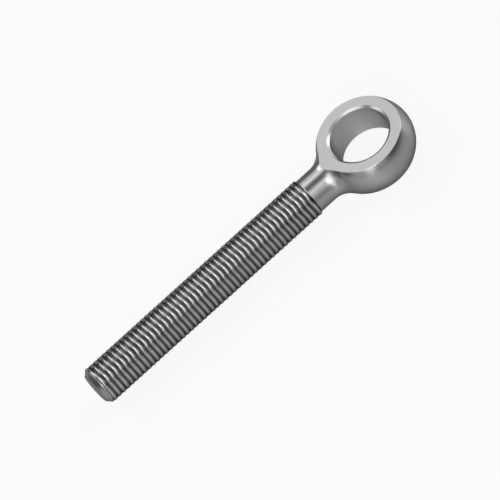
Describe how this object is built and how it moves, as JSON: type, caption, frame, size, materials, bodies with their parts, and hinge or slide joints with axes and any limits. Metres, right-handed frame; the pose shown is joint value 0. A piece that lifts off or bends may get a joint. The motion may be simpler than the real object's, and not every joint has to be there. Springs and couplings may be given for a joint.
{
  "type": "eye bolt",
  "caption": "Long eye bolt: a barrel-shaped eye with two flat faces and a plain bore, flared into a short neck and a straight threaded shank with a chamfered point.",
  "frame": {"origin": "centre of the eye's bore, half way between the head's two flat faces", "axes": "+Z along the bore, square to the flat faces; +X along the shank's axis, from the point to the eye; the bolt lies flat"},
  "size_m": [0.1838, 0.0452, 0.019],
  "materials": {
    "steel_head": "machined and polished, unplated",
    "steel_neck": "turned, unplated",
    "steel_thread": "rolled thread, unplated",
    "steel_point": "turned, unplated"
  },
  "bodies": {
    "root": {"eye": "steel_head", "neck": "steel_neck", "threaded_shank": "steel_thread", "point": "steel_point"}
  },
  "joints": []
}
